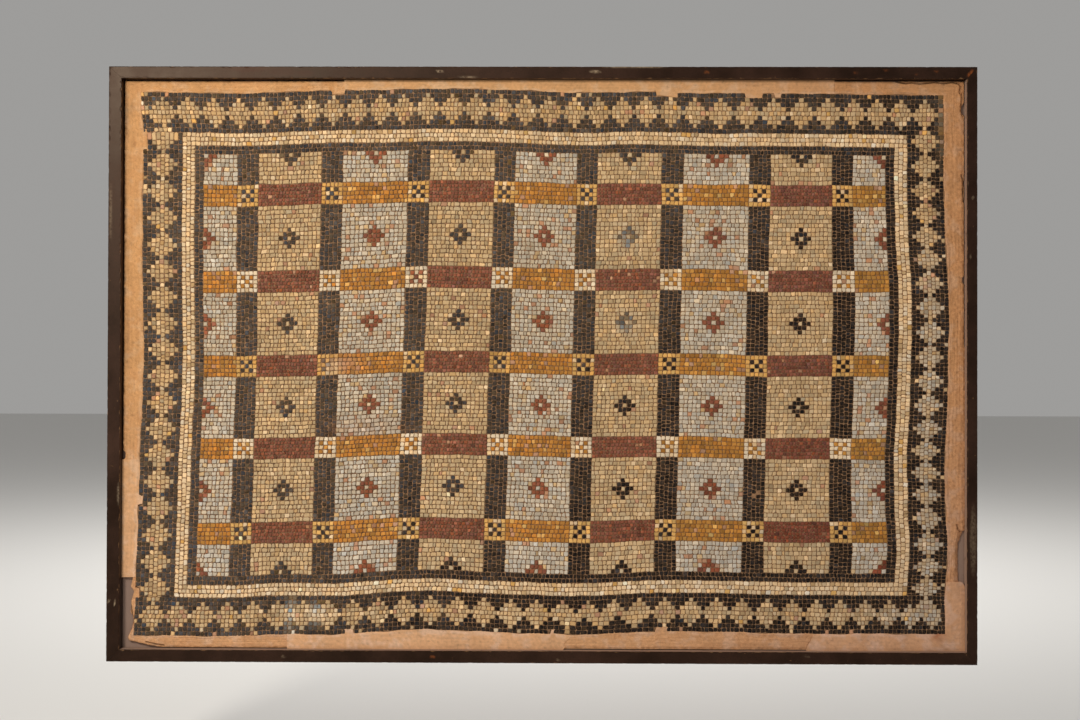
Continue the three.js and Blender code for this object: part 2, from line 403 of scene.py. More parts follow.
def mineral_group():
    """Grain, blotches, stains and pits, shared by the stones, the mortars and the plaster."""
    name = "Mineral Surface"
    if name in bpy.data.node_groups:
        return bpy.data.node_groups[name]
    group = bpy.data.node_groups.new(name, "ShaderNodeTree")
    for label, kind, default in (
        ("Colour", "NodeSocketColor", (0.5, 0.4, 0.3, 1)),
        ("Stain", "NodeSocketColor", (0.2, 0.1, 0.05, 1)),
        ("Stain Amount", "NodeSocketFloat", 0.3),
        ("Blotch Scale", "NodeSocketFloat", 30.0),
        ("Grain Scale", "NodeSocketFloat", 900.0),
        ("Grain", "NodeSocketFloat", 0.2),
    ):
        socket = group.interface.new_socket(name=label, in_out="INPUT", socket_type=kind)
        socket.default_value = default
    for label, kind in (
        ("Colour", "NodeSocketColor"),
        ("Roughness", "NodeSocketFloat"),
        ("Height", "NodeSocketFloat"),
    ):
        group.interface.new_socket(name=label, in_out="OUTPUT", socket_type=kind)
    n = Nodes(group)
    given = group.nodes.new("NodeGroupInput").outputs
    out = group.nodes.new("NodeGroupOutput").inputs
    place = n.new("TexCoord").outputs["Object"]
    grain = n.noise(place, given["Grain Scale"], detail=5, roughness=0.65)
    blotch = n.noise(place, given["Blotch Scale"], detail=4, roughness=0.6)
    half = n.maths("MULTIPLY", given["Grain"], 0.5)
    spread = n.maths("MULTIPLY", n.maths("SUBTRACT", grain, 0.5), given["Grain"])
    tone = n.maths("ADD", n.maths("MULTIPLY", spread, 3.0), 1.0)
    tone = n.maths("MULTIPLY", tone, n.span(blotch, 0.3, 0.7, 0.9, 1.08))
    grey = n.new("CombineColor", Red=tone, Green=tone, Blue=tone).outputs["Color"]
    toned = n.blend(given["Colour"], grey, 1.0, "MULTIPLY")
    seep = n.maths("MULTIPLY", n.span(blotch, 0.42, 0.72), given["Stain Amount"])
    n.feed(out["Colour"], n.blend(toned, given["Stain"], seep))
    n.feed(out["Roughness"], n.span(blotch, 0.25, 0.75, 0.72, 0.92))
    n.feed(out["Height"], n.maths("ADD", n.maths("MULTIPLY", grain, half), blotch))
    return group


def mineral_material(name, base, stain, amount, blotch, grain_scale, grain, bump, extra=None):
    """A matte mineral finish. base is a colour, or None where each stone carries its own."""
    material = bpy.data.materials.new(name)
    material.use_nodes = True
    n = Nodes(material.node_tree)
    shader = material.node_tree.nodes["Principled BSDF"]
    own = n.new("Attribute", attribute_name="stone_colour").outputs["Color"] if base is None else opaque(base)
    if extra:
        own = extra(n, own)
    group = material.node_tree.nodes.new("ShaderNodeGroup")
    group.node_tree = mineral_group()
    for key, value in (
        ("Colour", own),
        ("Stain", opaque(stain)),
        ("Stain Amount", amount),
        ("Blotch Scale", blotch),
        ("Grain Scale", grain_scale),
        ("Grain", grain),
    ):
        n.feed(group.inputs[key], value)
    n.feed(shader.inputs["Base Color"], group.outputs["Colour"])
    n.feed(shader.inputs["Roughness"], group.outputs["Roughness"])
    shader.inputs["Specular IOR Level"].default_value = 0.15
    height = n.new("Bump", Strength=bump, Distance=0.0006, Height=group.outputs["Height"])
    n.feed(shader.inputs["Normal"], height.outputs["Normal"])
    return material


# ---------------------------------------------------------------- the frame

RAIL_CUTS = 380
FACE_CUTS = 8
SMEARED_LIT_RAILS = ("right", "bottom")  # rails with plaster smeared down their inner walls; only the right and bottom ones, whose walls face the light, so the pale smear is partly a painted highlight
SMEAR_HIGHLIGHT_TOP = 2.6  # the smear, with the painted highlight it carries, starts this far behind the rail's front

# Marks on the rails: the side, a middle along and across, half its length and width, a kind, its
# strength. Places along run to the right or up, and across outwards from the inner edge.
RAIL_MARKS = (
    ("top", -676, 22, 44, 7, "stain", 0.9),
    ("top", -600, 16, 30, 9, "stain", 0.55),
    ("top", -545, 12, 17, 7, "stain", 0.8),
    ("top", -237, 17, 8, 2.5, "chip", 0.7),
    ("top", 122, 16, 11, 3, "chip", 0.8),
    ("top", 215, 26, 62, 1.8, "chip", 0.75),
    ("top", -172, 3, 26, 1.6, "chip", 0.6),
    ("top", 379, 15, 6, 3, "rust", 0.8),
    ("top", 720, 14, 4, 3, "rust", 0.45),
    ("top", 790, 20, 5, 2.5, "rust", 0.4),
    ("top", 860, 10, 4, 2.5, "rust", 0.4),
    ("top", 905, 17, 4, 2.5, "rust", 0.4),
    ("top", 981, 9, 4, 5, "rust", 1.0),
    ("top", 987, 15, 4, 6, "rust", 1.0),
    ("left", -551, 10, 6, 2, "chip", 0.9),
    ("left", -547, 24, 3, 2, "chip", 0.7),
    ("left", -300, 3, 30, 1.8, "chip", 0.5),
    ("left", 350, 24, 60, 3, "chip", 0.25),
    ("right", -400, 14, 70, 7, "chip", 0.28),
    ("right", 385, 14, 3, 3, "chip", 0.55),
    ("right", 250, 8, 4, 2, "chip", 0.4),
    ("bottom", -248, 14, 5, 3, "rust", 0.9),
    ("bottom", -592, 15, 4, 3, "chip", 0.45),
    ("bottom", 40, 20, 4, 2, "chip", 0.35),
    ("bottom", 610, 9, 4, 2, "chip", 0.35),
)


def rail_marks(side, along, across):
    """How strongly each kind of mark shows at a place on a rail."""
    found = {"chip": 0.0, "stain": 0.0, "rust": 0.0}
    for where, middle, height, half_long, half_wide, kind, strength in RAIL_MARKS:
        if where == side:
            away = ((along - middle) / half_long) ** 2 + ((across - height) / half_wide) ** 2
            found[kind] = max(found[kind], strength * clamp(1.6 - away))
    return found["chip"], found["stain"], found["rust"]


def rail_bmesh(side, long, reach, face, mitres, arris):
    """A rail across the top of the panel, mitred, with rounded and slightly dented long edges."""
    bm = bmesh.new()
    wear = bm.verts.layers.float.new("wear")
    smear = bm.verts.layers.float.new("smear")
    marks = bm.verts.layers.float_color.new("marks")
    bmesh.ops.create_cube(bm, size=1)
    bmesh.ops.scale(bm, vec=(long, FRAME_DEPTH, face), verts=bm.verts)
    lengthways = [e for e in bm.edges if abs(e.verts[0].co.x - e.verts[1].co.x) > 1]
    front = [e for e in lengthways if e.verts[0].co.y < 0]
    bmesh.ops.bevel(
        bm, geom=front, offset=arris, segments=4, profile=0.5, affect="EDGES", material=-1,
        clamp_overlap=True,
    )
    for k in range(1, FACE_CUTS + 1):
        level = (k / (FACE_CUTS + 1) - 0.5) * (face - 2 * arris)
        bmesh.ops.bisect_plane(
            bm, geom=[*bm.verts, *bm.edges, *bm.faces], plane_co=(0, 0, level), plane_no=(0, 0, 1)
        )
    for behind in (SMEAR_HIGHLIGHT_TOP, SMEAR_HIGHLIGHT_TOP + 0.6):
        bmesh.ops.bisect_plane(
            bm, geom=[*bm.verts, *bm.edges, *bm.faces], plane_co=(0, behind - FRAME_DEPTH / 2, 0),
            plane_no=(0, 1, 0),
        )
    lengthways = [e for e in bm.edges if abs(e.verts[0].co.x - e.verts[1].co.x) > 1]
    bmesh.ops.subdivide_edges(bm, edges=lengthways, cuts=RAIL_CUTS, use_grid_fill=True)
    flip = -1 if side in ("right", "bottom") else 1
    for vert in bm.verts:
        x, y, z = vert.co
        forward = FRAME_DEPTH / 2 - y
        across = face / 2 + z
        slope = mitres[1 if x > 0 else 0] / face
        half = long / 2 - (face - across) * slope - GAP * 0.75
        along = x / (long / 2) * half
        if side == "bottom":
            flat_along = -along
        else:
            flat_along = along * flip
        nearness = min(across, face - across)
        edge = clamp(1 - max(nearness, FRAME_DEPTH - forward - 0.01) / (2.2 * arris))
        dent = noise.noise(Vector((along / 11, reach / 40 + across, forward / 9))) - 0.12
        bite = max(dent, 0) * 2.0 * edge
        chip, stain, rust = rail_marks(side, flat_along, across) if forward > FRAME_DEPTH / 2 else (0, 0, 0)
        vert[marks] = (chip, stain, rust, 1)
        vert[wear] = edge * (0.3 + 1.3 * max(dent + 0.12, 0)) + (0.12 if across < 2 else 0)
        behind = FRAME_DEPTH - forward
        # Only the right and bottom rails, whose inner walls face the light, get the pale smear: partly plaster,
        # partly painted highlight.
        vert[smear] = float(side in SMEARED_LIT_RAILS and across < 0.01 and behind > SMEAR_HIGHLIGHT_TOP + 0.3)
        soft = 0.25 * (noise.noise(Vector((along / 60, across / 12, forward / 20))) + 1)
        if forward > 1:
            across -= math.copysign(bite, z) * (abs(z) > face / 2 - arris - 0.01)
        if forward > FRAME_DEPTH - arris - 0.01:
            forward -= bite + soft * 0.4 + chip * 0.25
        vert.co = (along, reach - face + across, forward)
    bmesh.ops.recalc_face_normals(bm, faces=bm.faces)
    return bm


def paint_material():
    """Dark brown paint, dulled, rubbed through on the edges, marked, and smeared inside; the pale smear, on the
    right and bottom rails only, is partly a painted highlight on their inner walls, which face the light.
    """
    group = settings("frame")
    material = bpy.data.materials.new("worn_brown_paint")
    material.use_nodes = True
    n = Nodes(material.node_tree)
    shader = material.node_tree.nodes["Principled BSDF"]
    place = n.new("TexCoord").outputs["Object"]
    cloud = n.noise(place, 9, detail=6, roughness=0.65)
    fine = n.noise(place, 260, detail=4, roughness=0.65)
    fleck = n.noise(place, 120, detail=2, roughness=0.5)
    wear = n.new("Attribute", attribute_name="wear").outputs["Fac"]
    smear = n.new("Attribute", attribute_name="smear").outputs["Fac"]
    marks = n.new("SeparateColor", Color=n.new("Attribute", attribute_name="marks").outputs["Color"])
    broken = n.span(n.noise(place, 190, detail=4, roughness=0.7), 0.36, 0.58)
    chip = n.maths("MULTIPLY", marks.outputs["Red"], broken)
    tone = n.blend(opaque(group.paint), opaque([c * 2.6 + 0.004 for c in group.paint]),
                   n.span(cloud, 0.36, 0.70))
    tone = n.blend(tone, opaque([c * 0.5 for c in group.paint]), n.span(fine, 0.5, 0.75, 0, 0.7))
    tone = n.blend(tone, opaque(group.stain), n.maths("MULTIPLY", marks.outputs["Green"], cloud))
    rubbed = n.span(n.maths("ADD", wear, n.maths("MULTIPLY", fine, 0.9)), 0.92, 1.2)
    flecked = n.span(fleck, 0.755, 0.79)
    bare = n.maths("MAXIMUM", n.maths("MULTIPLY", rubbed, 0.8), n.maths("MULTIPLY", flecked, 0.7))
    tone = n.blend(tone, opaque(group.bare), bare)
    rusty = n.maths("MULTIPLY", marks.outputs["Blue"], broken)
    tone = n.blend(tone, opaque(group.rust), rusty)
    tone = n.blend(tone, opaque(group.chipped), chip)
    # The pale smear on the lit inner walls: partly plaster, partly painted highlight.
    patchy = n.maths("MULTIPLY", smear, n.span(n.noise(place, 30), 0.25, 0.38, 0.35, 1.0))
    tone = n.blend(tone, opaque(group.smear), patchy)
    n.feed(shader.inputs["Base Color"], tone)
    rough = n.span(cloud, 0.3, 0.7, 0.36, 0.5)
    rough = n.maths("ADD", rough, n.maths("MULTIPLY", n.maths("MAXIMUM", bare, patchy), 0.35))
    n.feed(shader.inputs["Roughness"], rough)
    shader.inputs["Specular IOR Level"].default_value = 0.24
    shader.inputs["Specular Tint"].default_value = (1.0, 0.76, 0.58, 1)
    height = n.maths("SUBTRACT", n.maths("MULTIPLY", fine, 0.5), n.maths("MAXIMUM", bare, chip))
    bump = n.new("Bump", Strength=0.4, Distance=0.0005, Height=height)
    n.feed(shader.inputs["Normal"], bump.outputs["Normal"])
    return material


class MOSAIC_OT_frame(bpy.types.Operator):
    """Makes the four mitred rails"""

    bl_idname = "mosaic.frame"
    bl_label = "Frame"

    def execute(self, context):
        arris = settings("frame").arris / MM
        material = paint_material()
        for turn, (side, near, far) in enumerate((
            ("top", "left", "right"), ("left", "bottom", "top"),
            ("bottom", "right", "left"), ("right", "top", "bottom"),
        )):
            flat = side in ("top", "bottom")
            long = 2 * (HALF_WIDTH if flat else HALF_HEIGHT)
            reach = HALF_HEIGHT if flat else HALF_WIDTH
            bm = rail_bmesh(side, long, reach, FACE[side], (FACE[near], FACE[far]), arris)
            stand = Matrix.Rotation(math.pi / 2, 4, "X") @ Matrix.Rotation(turn * math.pi / 2, 4, "Z")
            bmesh.ops.transform(bm, matrix=Matrix.Scale(MM, 4) @ stand, verts=bm.verts)
            to_object(f"rail_{side}", bm, material, "frame_paint", f"frame_rail_{side}")
        return {"FINISHED"}


# ---------------------------------------------------------------- mortar

CORNER_REACH = 70  # over this length from a corner, lines across the margin fan out
ACROSS_CUTS = 18

# The old bed's outer edge on each side, as pairs of a place along the side and a place across.
BED_EDGE = {
    "head": [(-980, 655.5), (980, 655.5)],
    "foot": [(-956, -640), (-950, -641), (-926, -646), (-905, -651), (-878, -655.5), (980, -655.5)],
    "left": [
        (-642, -953), (-632, -955), (-621, -949), (-593, -940), (-575, -949), (-549, -947),
        (-528, -941), (-515, -948), (-494, -944), (-493, -967.5), (-221, -967.5), (-219, -962.5),
        (-205, -962.5), (-202, -967.5), (660, -967.5),
    ],
    "right": [
        (-660, 963), (-520, 963), (-470, 961), (-412, 961), (-384, 971), (-378, 975.7), (42, 975.7),
        (46, 973.5), (188, 973.5), (192, 969.5), (202, 969.5), (206, 973.5), (576, 973.5),
        (582, 968), (600, 969), (606, 973.5), (660, 973.5),
    ],
}
FILL_EDGE = {
    "head": [(-1000, OPENING["head"] - GAP), (1000, OPENING["head"] - GAP)],
    "foot": [(-1000, OPENING["foot"] + GAP), (1000, OPENING["foot"] + GAP)],
    "left": [(-1000, OPENING["left"] + GAP), (1000, OPENING["left"] + GAP)],
    "right": [(-1000, OPENING["right"] - GAP), (1000, OPENING["right"] - GAP)],
}
SIDE_ENDS = {
    "head": ("left", "right"),
    "foot": ("left", "right"),
    "left": ("foot", "head"),
    "right": ("foot", "head"),
}


def mosaic_edge(side, along):
    """A point on the mosaic's ragged edge, laid."""
    depth = raggedness(along) + (STONE if is_lost(side, along) else 0)
    inward = {"head": -depth, "foot": depth, "left": depth, "right": -depth}[side]
    if side in ("head", "foot"):
        return lay(along, EDGE[side] + inward)
    return lay(EDGE[side] + inward, along)


def margin_line(side, along, edges):
    """Both ends of a line across the margin: on the mosaic's edge, and on the bed's outer edge."""
    inner = mosaic_edge(side, along)
    axis = 0 if side in ("head", "foot") else 1
    place = inner[axis]
    for end in SIDE_ENDS[side]:
        near = clamp(1 - abs(along - EDGE[end]) / CORNER_REACH) ** 2
        if near:
            corner = between(edges[end], EDGE[side] * 1.05)
            place += (corner - inner[axis]) * near
    across = between(edges[side], place)
    return inner, (place, across) if axis == 0 else (across, place)


def steps(start, end, step):
    count = max(1, round(abs(end - start) / step))
    return [start + (end - start) * k / count for k in range(count + 1)]


# Marks on the mortar: a middle, half its width and height, what it multiplies the colour by. Two of them are
# painted light: a painted highlight and a painted shadow.
MORTAR_MARKS_AND_LIGHT = (
    (-963, 575, 4.5, 75, (0.50, 0.56, 0.66)),
    (-965, 330, 4, 150, (0.62, 0.66, 0.74)),
    (-952, 590, 6, 22, (0.70, 0.74, 0.80)),
    (-947, 512, 6, 13, (0.50, 0.45, 0.42)),
    (-958, 60, 4, 90, (0.70, 0.70, 0.74)),
    (-650, 641, 46, 10, (1.22, 1.30, 1.42)),
    # painted highlight: a whitish patch on the mortar above the mosaic's top left corner
    (-893, 637, 26, 5, (1.16, 1.14, 1.16)),
    # painted shadow: a thin dark line on the mortar along the top rail's inner edge
    (-780, 655, 110, 3, (0.66, 0.60, 0.56)),
    (914, -622, 15, 12, (0.62, 0.42, 0.38)),
    (-955, -600, 8, 30, (1.1, 1.12, 1.2)),
)


BLOOM_AND_HIGHLIGHT = (1.05, 1.17, 1.42)  # what lime bloom, and the painted highlight along the lip by the mosaic, multiply the mortar's colour by
CRACK_HALF = 2.0  # half the width of a crack

# Cracks and broken edges in the old mortar, as lines through points.
CRACKS = (
    (
        (818, 655), (840, 651), (855, 653), (871, 650), (890, 652), (909, 654), (928, 651), (948, 654),
        (963, 650), (967, 643), (964, 632), (970, 621), (968, 603), (970, 578),
    ),
    ((968, 440), (973, 424), (971, 400), (973, 378)),
    ((958, -366), (960, -376), (966, -384)),
    ((-872, -651), (-890, -649), (-912, -644)),
    ((-948, -560), (-944, -585), (-947, -612)),
)


def crack_at(x, y):
    """How far into a crack a point is, from 0 to 1."""
    deepest = 0
    for line in CRACKS:
        for a, b in zip(line, line[1:]):
            if abs(x - a[0]) < 40 and abs(y - a[1]) < 60:
                spot, t = intersect_point_line((x, y, 0), (*a, 0), (*b, 0))
                if -0.1 < t < 1.1:
                    away = math.hypot(x - spot.x, y - spot.y)
                    deepest = max(deepest, clamp(1.25 - away / CRACK_HALF))
    return deepest


def mortar_tone(along, v, x, y):
    """What multiplies the mortar's colour at a point."""
    streak = noise.noise(Vector((along / 110, v * 11, 17)))
    cloud = rough(x, y, 45, 21)
    speck = smoothstep(0.42, 0.58, rough(x, y, 6.5, 23)) * 0.2
    grit = rough(x, y, 6.5, 7) + 0.6 * rough(x, y, 3.4, 8)
    # The last term darkens the mortar towards the frame (v near 1): painted shade under the standing rails.
    value = 0.99 + 0.14 * streak + 0.10 * cloud - speck + 0.17 * grit - 0.12 * smoothstep(0.75, 1, v)
    # Cracks are darkened: painted shade inside them.
    value *= 1 - 0.72 * crack_at(x, y)
    # lip adds whitish bloom along the raised lip by the mosaic's edge: partly lime bloom, partly a painted
    # highlight on the lip.
    lip = 0.4 * math.exp(-(((v - 0.1) / 0.12) ** 2))
    bloom_and_highlight = smoothstep(0, 0.55, rough(x, y, 30, 41) + 0.5 * rough(x, y, 11, 43) + lip)
    # Towards the bottom the tone turns lighter and bluer, towards the right a little bluer, and at the bottom
    # right darker: painted cool light at the bottom and painted falloff of the light away from the top left.
    low = smoothstep(100, -600, y)
    right = smoothstep(0, 900, x)
    tone = value * Vector((1 + 0.12 * low - 0.04 * right, 1 + 0.17 * low - 0.08 * right, 1 + 0.42 * low))
    tone = [c * mix(1, b, bloom_and_highlight) * (1 - 0.15 * right * low) for c, b in zip(tone, BLOOM_AND_HIGHLIGHT)]
    for mx, my, half_wide, half_high, mark in MORTAR_MARKS_AND_LIGHT:
        away = ((x - mx) / half_wide) ** 2 + ((y - my) / half_high) ** 2
        if away < 3:
            ragged = clamp(0.75 + 0.9 * rough(x, y, 9, 29))
            t = math.exp(-away * 1.1) * ragged
            tone = Vector([c * mix(1, m, t) for c, m in zip(tone, mark)])
    return tone


def margin_bmesh(path, edges, front, relief, start_bend=None, end_bend=None):
    """A stretch of mortar between the mosaic and the frame, closed, with a modelled face.

    path lists (side, from, to). relief gives a height from a place along, a place across from 0 at
    the mosaic to 1, and the point. The bends shift the two ends of the stretch along it.
    """
    lines = []
    for side, start, end in path:
        step = settings("mortar").grid / MM
        line = [(side, a, *margin_line(side, a, edges)) for a in steps(start, end, step)]
        lines += line if not lines else line[1:]
    count = len(lines) - 1
    bm = bmesh.new()
    tint = bm.verts.layers.float_color.new("mortar_tone")
    bmesh.ops.create_grid(bm, x_segments=count, y_segments=ACROSS_CUTS, size=1)
    for vert in bm.verts:
        i = round((vert.co.x + 1) / 2 * count)
        v = clamp((vert.co.y + 1) / 2)
        side, along, inner, outer = lines[i]
        x, y = mix(inner[0], outer[0], v), mix(inner[1], outer[1], v)
        shift = 0
        if start_bend:
            shift += start_bend(v) * clamp(1 - i / 8)
        if end_bend:
            shift += end_bend(v) * clamp(1 - (count - i) / 8)
        if side in ("head", "foot"):
            x += shift
        else:
            y += shift
        vert[tint] = (*mortar_tone(along, v, x, y), 1)
        vert.co = at(x, y, front + relief(side, along, v, x, y))
    rim = [e for e in bm.edges if e.is_boundary]
    made = bmesh.ops.extrude_edge_only(bm, edges=rim)["geom"]
    back = -(BACKING_FRONT + GAP) * MM
    for item in made:
        if isinstance(item, bmesh.types.BMVert):
            item.co.y = back
    low = [e for e in made if isinstance(e, bmesh.types.BMEdge) and e.is_boundary]
    bmesh.ops.holes_fill(bm, edges=low, sides=0)
    bmesh.ops.recalc_face_normals(bm, faces=bm.faces)
    return bm


def rough(x, y, size, seed=0):
    return noise.noise(Vector((x / size, y / size, seed)))


def old_relief(side, along, v, x, y):
    """Old mortar: lumpy, drawn out by the trowel along the side, with a lip at the mosaic."""
    across = v * 45
    coarse = 1.2 if side == "right" else 0.75
    lumps = 0.8 * rough(x, y, 42) + 0.7 * rough(x, y, 15, 3) + coarse * rough(x, y, 6.5, 7)
    trowel = 0.9 * noise.noise(Vector((along / 150, across / 4, 5)))
    if side == "right":
        trowel += 0.9 * noise.noise(Vector((x / 16, y / 4.4, 8)))
    lip = 0.9 * math.exp(-(((v - 0.07) / 0.06) ** 2)) * (1 + rough(x, y, 25, 9))
    worn = -1.6 * smoothstep(0.88, 1.0, v) * (0.7 + 1.2 * rough(x, y, 9, 11))
    if side == "right" and -510 < y < -380:
        worn -= 5.5 * smoothstep(0.6, 1, v)
    hollow = -0.9 * smoothstep(0.1, 0, v)
    return lumps + trowel + lip + worn + hollow - 3.2 * crack_at(x, y) - 0.7


def new_relief(side, along, v, x, y):
    """Repair mortar: smoothed, with faint lumps, falling a little to the stones."""
    lumps = 0.4 * rough(x, y, 60, 2) + 0.22 * rough(x, y, 10, 4)
    return lumps - 0.6 * smoothstep(0.1, 0, v) - 0.5


def join(parts):
    """One bmesh of several."""
    whole = bmesh.new()
    for part in parts:
        mesh = bpy.data.meshes.new("part")
        part.to_mesh(mesh)
        part.free()
        whole.from_mesh(mesh)
        bpy.data.meshes.remove(mesh)
    return whole


TOP_FILL = (-458, 675)
LEFT_FILL = (-494, -222)
BOTTOM_FILL = (-586, 66)
CORNER_FILL = {"foot": 630, "right": -498}


def tinted(n, own):
    """Multiplies a mortar's colour by its modelled tone."""
    tone = n.new("Attribute", attribute_name="mortar_tone").outputs["Color"]
    return n.blend(own, tone, 1.0, "MULTIPLY")


def crack_bend(v):
    return -16 * v + 3 * math.sin(9 * v)


def corner_bend(v):
    return -3 - 16 * math.sin(v * math.pi / 2) ** 2


class MOSAIC_OT_mortar_bed(bpy.types.Operator):
    """Makes the old mortar round the mosaic"""

    bl_idname = "mosaic.mortar_bed"
    bl_label = "Mortar Bed"

    def execute(self, context):
        group = settings("mortar")
        left_top = set_out_y(EDGE["left"], LEFT_FILL[1])
        left_low = set_out_y(EDGE["left"], LEFT_FILL[0])
        foot_left = set_out_x(BOTTOM_FILL[0], EDGE["foot"])
        foot_mid = set_out_x(BOTTOM_FILL[1], EDGE["foot"])
        foot_right = set_out_x(CORNER_FILL["foot"], EDGE["foot"])
        head_left = set_out_x(TOP_FILL[0], EDGE["head"])
        head_right = set_out_x(TOP_FILL[1], EDGE["head"])
        right_low = set_out_y(EDGE["right"], CORNER_FILL["right"])
        stretches = [
            ([("left", left_top, EDGE["head"]), ("head", EDGE["left"], head_left)], None, None),
            ([("head", head_right, EDGE["right"]), ("right", EDGE["head"], right_low)], None, None),
            ([("foot", foot_mid, foot_right)], crack_bend, corner_bend),
            ([("left", left_low, EDGE["foot"]), ("foot", EDGE["left"], foot_left)], None, None),
        ]
        parts = [margin_bmesh(path, BED_EDGE, BED_FRONT, old_relief, a, b) for path, a, b in stretches]
        material = mineral_material(
            "old_lime_mortar", group.old, [c * f for c, f in zip(group.old, (0.62, 0.55, 0.6))],
            0.4, 34, 600, 0.34, 1.5, tinted,
        )
        to_object("old_mortar", join(parts), material, "old_mortar", "mortar_bed")
        return {"FINISHED"}


class MOSAIC_OT_repair_fills(bpy.types.Operator):
    """Makes the newer mortar fills"""

    bl_idname = "mosaic.repair_fills"
    bl_label = "Repair Fills"

    def execute(self, context):
        group = settings("mortar")
        material = mineral_material(
            "new_mortar", group.new, [c * f for c, f in zip(group.new, (0.8, 0.72, 0.7))],
            0.4, 20, 800, 0.2, 1.1, tinted,
        )
        head = [("head", *[set_out_x(x, EDGE["head"]) for x in TOP_FILL])]
        left = [("left", *[set_out_y(EDGE["left"], y) for y in LEFT_FILL])]
        bottom = [("foot", *[set_out_x(x, EDGE["foot"]) for x in BOTTOM_FILL])]
        corner = [
            ("foot", set_out_x(CORNER_FILL["foot"], EDGE["foot"]), EDGE["right"]),
            ("right", EDGE["foot"], set_out_y(EDGE["right"], CORNER_FILL["right"])),
        ]

        def round_off(v):
            return -12 * max(0, (v - 0.72) / 0.28) ** 3

        for name, path, bends in (
            ("top", head, (None, None)),
            ("left", left, (None, None)),
            ("bottom", bottom, (None, crack_bend)),
            ("corner", corner, (corner_bend, round_off)),
        ):
            bm = margin_bmesh(path, FILL_EDGE, FILL_FRONT, new_relief, *bends)
            to_object(f"fill_{name}", bm, material, "new_mortar", f"repair_fill_{name}")
        return {"FINISHED"}


def settled_grime(n, own):
    """Darkens the joints in patches, less and less towards the right."""
    place = n.new("TexCoord").outputs["Object"]
    across = n.new("SeparateXYZ", Vector=place).outputs["X"]
    patch = n.span(n.noise(place, 90, detail=5, roughness=0.75), 0.44, 0.60, 1.0, 0.0)
    less = n.span(across, -0.35, 0.45, 0.72, 0.42)
    return n.blend(own, opaque(settings("mortar").grime), n.maths("MULTIPLY", patch, less))


class MOSAIC_OT_joint_mortar(bpy.types.Operator):
    """Makes the mortar that the stones stand in"""

    bl_idname = "mosaic.joint_mortar"
    bl_label = "Joint Mortar"

    def execute(self, context):
        group = settings("mortar")
        bm = bmesh.new()
        outline = []
        for side, start, end in (
            ("foot", "left", "right"), ("right", "foot", "head"),
            ("head", "right", "left"), ("left", "head", "foot"),
        ):
            for along in steps(EDGE[start], EDGE[end], 5)[:-1]:
                outline.append(mosaic_edge(side, along))
        level = STONE_FRONT - group.depth / MM
        face = bm.faces.new([bm.verts.new(at(x, y, level)) for x, y in outline])
        made = bmesh.ops.extrude_face_region(bm, geom=[face], use_keep_orig=True)["geom"]
        for item in made:
            if isinstance(item, bmesh.types.BMVert):
                item.co.y = -(BACKING_FRONT + GAP) * MM
        bmesh.ops.recalc_face_normals(bm, faces=bm.faces)
        material = mineral_material(
            "joint_mortar", group.joint, [c * f for c, f in zip(group.joint, (0.7, 0.65, 0.65))],
            0.4, 14, 800, 0.2, 0.9, settled_grime,
        )
        to_object("joint_mortar", bm, material, "old_mortar",
                  "stepped_border", "cream_band", "dark_band", "field")
        return {"FINISHED"}


class MOSAIC_OT_backing(bpy.types.Operator):
    """Finishes the plaster backing"""

    bl_idname = "mosaic.backing"
    bl_label = "Backing"

    def execute(self, context):
        base = settings("mortar").backing
        dress("backing_slab", mineral_material(
            "backing_plaster", base, [c * 0.6 for c in base], 0.4, 12, 500, 0.14, 0.8))
        return {"FINISHED"}


# ---------------------------------------------------------------- stones


# Where stones are missing: left, right, foot and head of each gap.
GAPS = ((495, 503, -306, -297), (505, 513, -297, -287))

# Faded or soiled patches: a middle, half its width and height, the colour it fades to, how far.
PATCHES = (
    (-447, 4, 42, 20, "salmon", 0.75),
    (-470, 0, 18, 14, "white", 0.5),
    (-400, -150, 75, 26, "rust", 0.30),
    (201, 294, 24, 26, "grey", 0.45),
    (203, 96, 24, 26, "grey", 0.50),
    (-556, -570, 13, 32, "white", 0.7),
    (-496, -572, 22, 22, "white", 0.7),
    (-893, 590, 16, 16, "beige", 0.25),
    (925, 560, 8, 75, "tan", 0.35),
)


